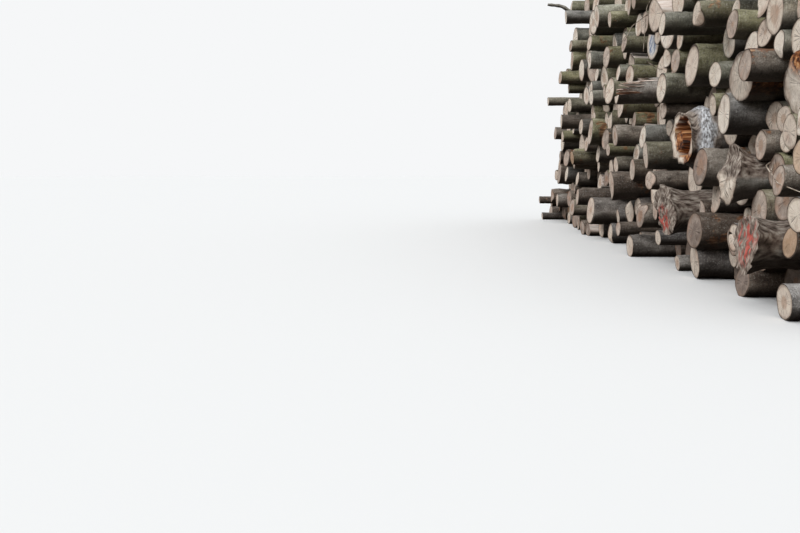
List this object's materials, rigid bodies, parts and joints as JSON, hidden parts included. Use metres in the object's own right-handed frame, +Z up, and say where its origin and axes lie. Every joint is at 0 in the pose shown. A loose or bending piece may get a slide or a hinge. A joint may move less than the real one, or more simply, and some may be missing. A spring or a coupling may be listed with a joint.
{
  "type": "stack of logs",
  "caption": "Roadside stack of beech roundwood, one log deep, with ragged sawn ends on the road face and sloping ends.",
  "frame": {"origin": "middle of the footprint on the ground", "axes": "+X along the logs, from the road face to the back; +Y along the row; +Z up"},
  "size_m": [5.6958, 15.8732, 5.4084],
  "materials": {
    "beech_logs": "grey-green bark and pale sawn ends",
    "root_butts": "weathered grey butt wood and bark"
  },
  "bodies": {
    "root": {"branched_log": "beech_logs", "burl_log": "root_butts", "high_root_log": "root_butts", "hollow_log": "root_butts", "layer_01": "beech_logs", "layer_02": "beech_logs", "layer_03": "beech_logs", "layer_04": "beech_logs", "layer_05": "beech_logs", "layer_06": "beech_logs", "layer_07": "beech_logs", "layer_08": "beech_logs", "layer_09": "beech_logs", "layer_10": "beech_logs", "layer_11": "beech_logs", "layer_12": "beech_logs", "low_root_log": "root_butts", "peeled_log": "beech_logs", "shaken_log": "beech_logs", "split_log": "beech_logs", "torn_log": "beech_logs"}
  },
  "joints": []
}
